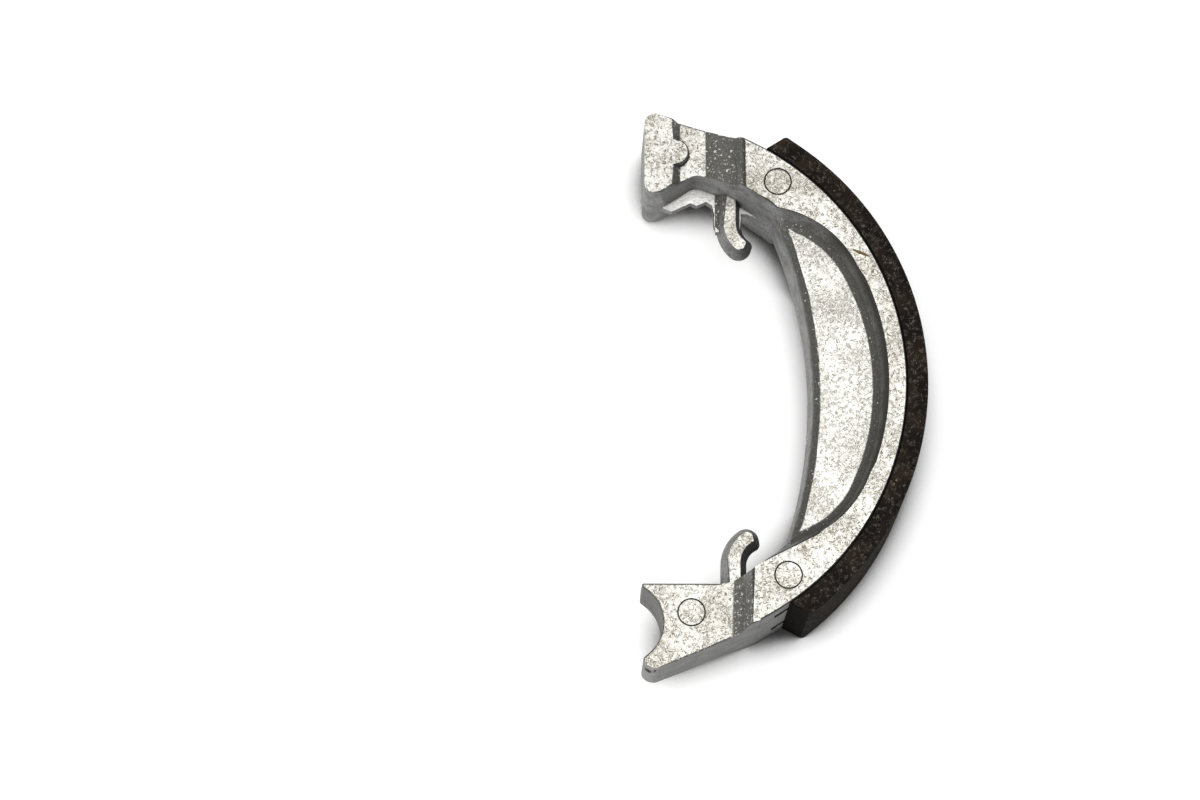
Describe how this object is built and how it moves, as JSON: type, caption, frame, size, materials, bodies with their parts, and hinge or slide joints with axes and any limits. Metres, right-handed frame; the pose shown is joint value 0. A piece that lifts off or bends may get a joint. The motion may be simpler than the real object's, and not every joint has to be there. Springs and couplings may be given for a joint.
{
  "type": "brake shoe",
  "caption": "Curved die-cast aluminium brake shoe with a bonded friction lining, spring hooks, a cam pad at one end and an anchor pin fork at the other.",
  "frame": {"origin": "middle of the part's box at the height of the side face it lies on", "axes": "+Z along the drum axis, +Y towards the cam end, +X towards the lining. The drum axis is the line x = -28.55 mm, y = 0.75 mm."},
  "size_m": [0.0529, 0.1054, 0.025],
  "materials": {
    "cast_aluminium": "as-cast, bright speckled side faces and duller grey walls",
    "friction_lining": "moulded resin-bonded friction material, near black with pale fibre flecks"
  },
  "bodies": {
    "root": {"shoe_casting": "cast_aluminium", "brake_lining": "friction_lining"}
  },
  "joints": []
}
